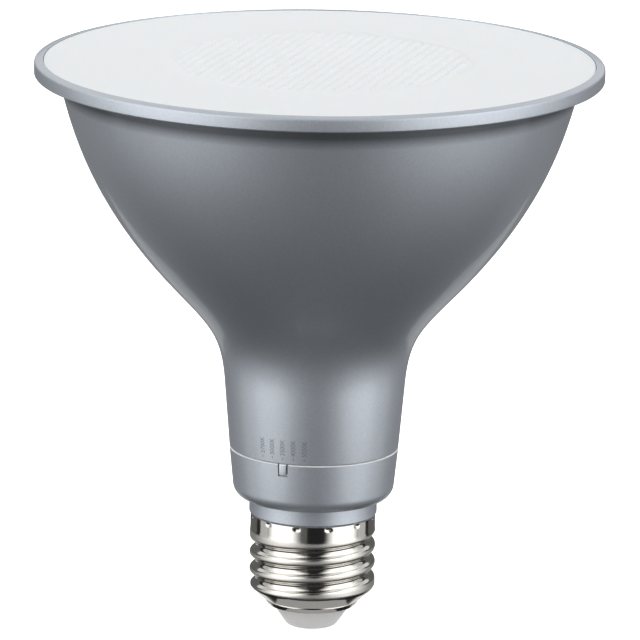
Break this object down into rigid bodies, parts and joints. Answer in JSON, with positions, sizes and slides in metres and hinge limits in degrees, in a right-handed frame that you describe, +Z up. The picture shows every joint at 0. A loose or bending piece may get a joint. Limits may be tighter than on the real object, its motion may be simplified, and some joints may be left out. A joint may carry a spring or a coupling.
{
  "type": "par spotlight bulb",
  "caption": "Flood lamp with a frosted front lens, silver bowl-shaped body, a turning ring that selects the colour of its light, and a screw cap.",
  "frame": {"origin": "foot of the centre contact, on the lamp's axis", "axes": "+Z runs up the lamp's axis from the cap to the lens; -Y is the side seen in the picture, with the ring's pointer a little to the left of it; +X is to the right in the picture"},
  "size_m": [0.118, 0.118, 0.1213],
  "materials": {
    "silver_paint": "satin silver metallic paint on moulded plastic",
    "frosted_lens": "frosted translucent polycarbonate",
    "nickel_plate": "bright nickel plate on rolled brass",
    "pale_insulator": "pale grey moulded insulator",
    "contact_brass": "plain brass",
    "plain_aluminium": "plain pressed aluminium",
    "white_board": "white solder mask on a metal core",
    "warm_phosphor": "orange phosphor gel",
    "cool_phosphor": "yellow phosphor gel",
    "screw_steel": "zinc plated",
    "white_plastic": "white moulded plastic",
    "wire_jacket": "white insulated wire",
    "green_board": "green solder mask",
    "dark_ferrite": "ground ferrite",
    "coil_tape": "yellow winding tape",
    "can_sleeve": "black shrink sleeve",
    "box_blue": "blue epoxy",
    "resistor_body": "grey-green cement",
    "black_moulding": "black moulding compound"
  },
  "bodies": {
    "lamp": {"front_lens": "frosted_lens", "front_bezel": "silver_paint", "outer_housing": "silver_paint", "base_neck": "silver_paint", "screw_shell": "nickel_plate", "cap_insulator": "pale_insulator", "centre_contact": "contact_brass", "heat_sink_cup": "plain_aluminium", "led_board": "white_board", "warm_leds": "warm_phosphor", "cool_leds": "cool_phosphor", "board_screws": "screw_steel", "reflector": "white_plastic", "led_connector": "white_plastic", "led_wires": "wire_jacket", "driver_board": "green_board", "transformer_core": "dark_ferrite", "transformer_coil": "coil_tape", "input_capacitor": "can_sleeve", "output_capacitor": "can_sleeve", "film_capacitor": "box_blue", "varistor": "box_blue", "fuse_resistor": "resistor_body", "bridge_rectifier": "black_moulding", "controller_chip": "black_moulding", "switch_body": "black_moulding", "line_wire": "wire_jacket", "neutral_wire": "wire_jacket"},
    "ring": {"selector_ring": "silver_paint"},
    "slider": {"switch_slider": "white_plastic"}
  },
  "joints": [
    {"name": "selector_turn", "type": "hinge", "parent": "lamp", "child": "ring", "pos_m": [0, 0, 0.0299], "axis": [0, 0, 1], "range_deg": [-15, 15]},
    {"name": "switch_slide", "type": "slide", "parent": "lamp", "child": "slider", "axis": [-1, 0, 0], "range_m": [-0.0031, 0.0031]}
  ],
  "couplings": [
    {"joint": "switch_slide", "follows": "selector_turn", "m_per_rad": 0.01146}
  ]
}
